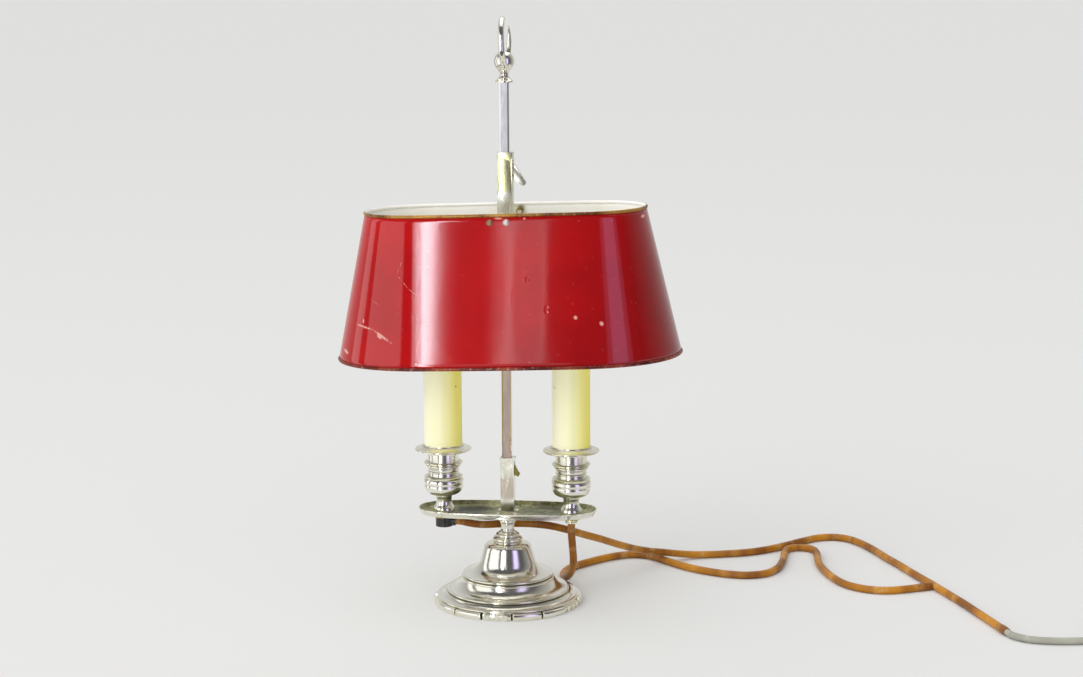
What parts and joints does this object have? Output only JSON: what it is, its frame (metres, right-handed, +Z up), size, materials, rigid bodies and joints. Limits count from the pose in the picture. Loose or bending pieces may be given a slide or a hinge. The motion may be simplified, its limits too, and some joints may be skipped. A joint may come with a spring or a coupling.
{
  "type": "bouillotte lamp",
  "caption": "Table lamp with electric candles on a lobed tray and an oval painted shade, both sliding on a square stem and held by cam levers.",
  "frame": {"origin": "centre of the foot ring's underside, where the stem's axis meets the table", "axes": "+Z up the stem, +X towards the levers and the right-hand candle, -Y towards the viewer of the picture"},
  "size_m": [0.6644, 0.2881, 0.4493],
  "materials": {
    "silver_plate": "polished silver plate on brass, bright, with olive reflections in the hollows",
    "tarnished_plate": "tarnished silver plate, olive and grey-brown speckles",
    "worn_plate": "silver plate rubbed through to warm brass in patches",
    "bare_brass": "dull olive brass",
    "steel_hardware": "plain zinc-plated steel",
    "cast_weight": "raw iron casting",
    "black_plate": "black stove enamel",
    "candle_ivory": "cream candle cover with a soft wax sheen",
    "holder_black": "black moulded phenolic",
    "bulb_glass": "opal white candle bulb",
    "shade_red": "deep red gloss paint outside, white inside",
    "shade_gilt": "worn gilt edge line",
    "cord_brown": "ochre-brown sheathed cord, scuffed",
    "flex_pale": "pale grey flex",
    "tie_black": "black moulded plastic"
  },
  "bodies": {
    "lamp_base": {"foot_ring": "silver_plate", "base_shell": "silver_plate", "base_weight": "cast_weight", "bottom_plate": "black_plate", "tail_nut": "steel_hardware", "tail_washer": "steel_hardware", "post": "silver_plate", "stem": "silver_plate", "finial_bud": "silver_plate", "finial_hook": "silver_plate", "cord_left": "cord_brown", "cord_right": "cord_brown", "flex_run": "flex_pale", "flex_coil": "flex_pale", "coil_tie": "tie_black", "plug_body": "tie_black", "plug_pins": "steel_hardware"},
    "candle_tray": {"tray": "tarnished_plate", "tray_sleeve": "worn_plate", "tray_rivets": "worn_plate", "tray_lever_pin": "steel_hardware", "cup_left": "silver_plate", "cup_right": "silver_plate", "drip_pan_left": "silver_plate", "drip_pan_right": "silver_plate", "candle_left": "candle_ivory", "candle_right": "candle_ivory", "lampholder_left": "holder_black", "lampholder_right": "holder_black", "bulb_left": "bulb_glass", "bulb_right": "bulb_glass", "nipple_left": "bare_brass", "nipple_right": "bare_brass", "nipple_nuts": "bare_brass", "cord_cap_left": "holder_black", "cord_ferrule_right": "silver_plate"},
    "tray_clamp": {"tray_lever": "bare_brass"},
    "shade": {"shade_shell": "shade_red", "shade_top_wire": "shade_gilt", "shade_bottom_wire": "shade_gilt", "shade_sleeve": "worn_plate", "shade_arm_front": "worn_plate", "shade_arm_back": "worn_plate", "shade_screws": "steel_hardware", "shade_nuts": "bare_brass", "shade_lever_pin": "steel_hardware"},
    "shade_clamp": {"shade_lever": "worn_plate"}
  },
  "joints": [
    {"name": "tray_slide", "type": "slide", "parent": "lamp_base", "child": "candle_tray", "axis": [0, 0, 1], "range_m": [0, 0.08]},
    {"name": "tray_lever_turn", "type": "hinge", "parent": "candle_tray", "child": "tray_clamp", "pos_m": [0.0047, 0, 0.109], "axis": [0, -1, 0], "range_deg": [0, 75]},
    {"name": "shade_slide", "type": "slide", "parent": "lamp_base", "child": "shade", "axis": [0, 0, 1], "range_m": [-0.08, 0.05]},
    {"name": "shade_lever_turn", "type": "hinge", "parent": "shade", "child": "shade_clamp", "pos_m": [0.00495, 0, 0.3408], "axis": [0, -1, 0], "range_deg": [0, 75]}
  ]
}
